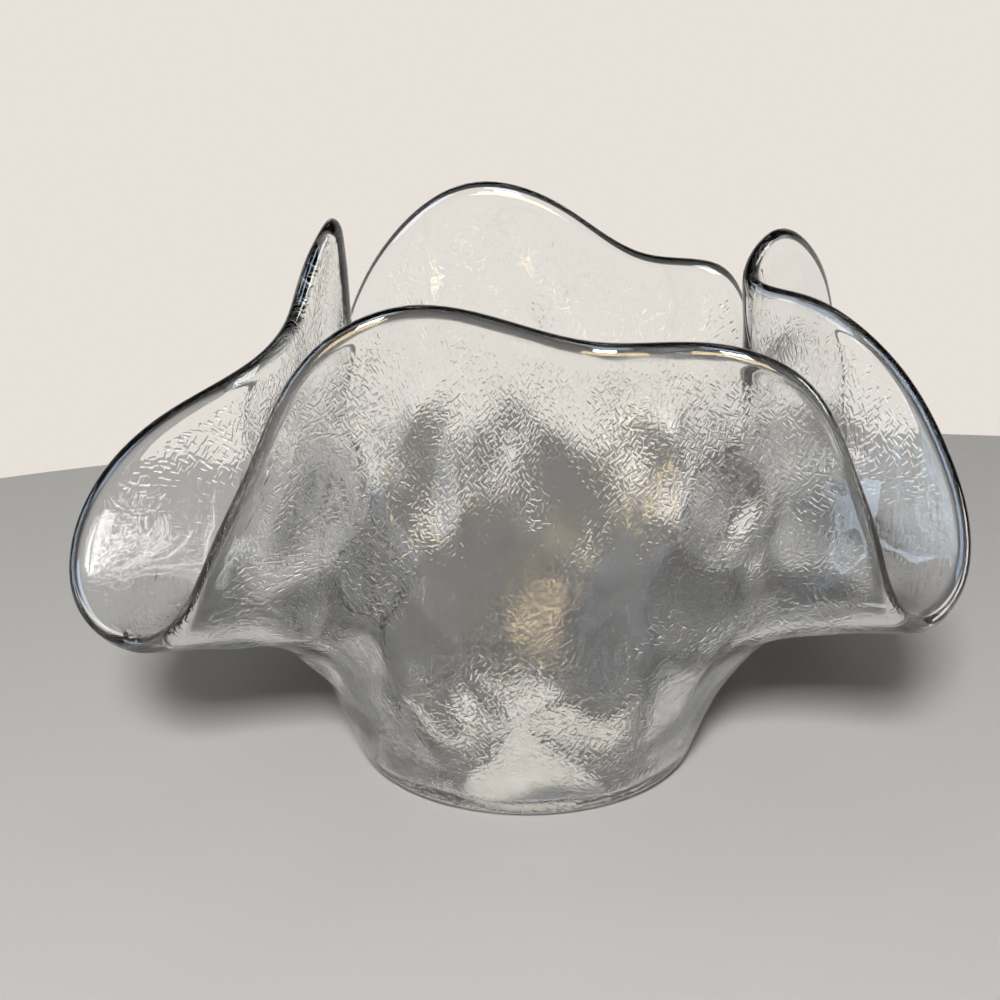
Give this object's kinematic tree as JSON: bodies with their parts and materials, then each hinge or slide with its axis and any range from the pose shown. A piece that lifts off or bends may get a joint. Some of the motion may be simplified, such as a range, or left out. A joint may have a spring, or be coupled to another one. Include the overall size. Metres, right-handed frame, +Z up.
{
  "type": "handkerchief bowl",
  "caption": "Clear textured glass bowl slumped from one sheet, with a flat round foot, a wavy rim, upright lobes and low gutters folded outward.",
  "frame": {"origin": "middle of the flat foot, on the table", "axes": "+Z up, +X along the bowl's width to the right of the wide front lobe, -Y towards the front lobe"},
  "size_m": [0.2385, 0.1676, 0.1544],
  "materials": {
    "clear_glass": "clear colourless glass, fine hammered texture on the outer face, smooth fire-polished rim"
  },
  "bodies": {
    "root": {"bowl": "clear_glass"}
  },
  "joints": []
}
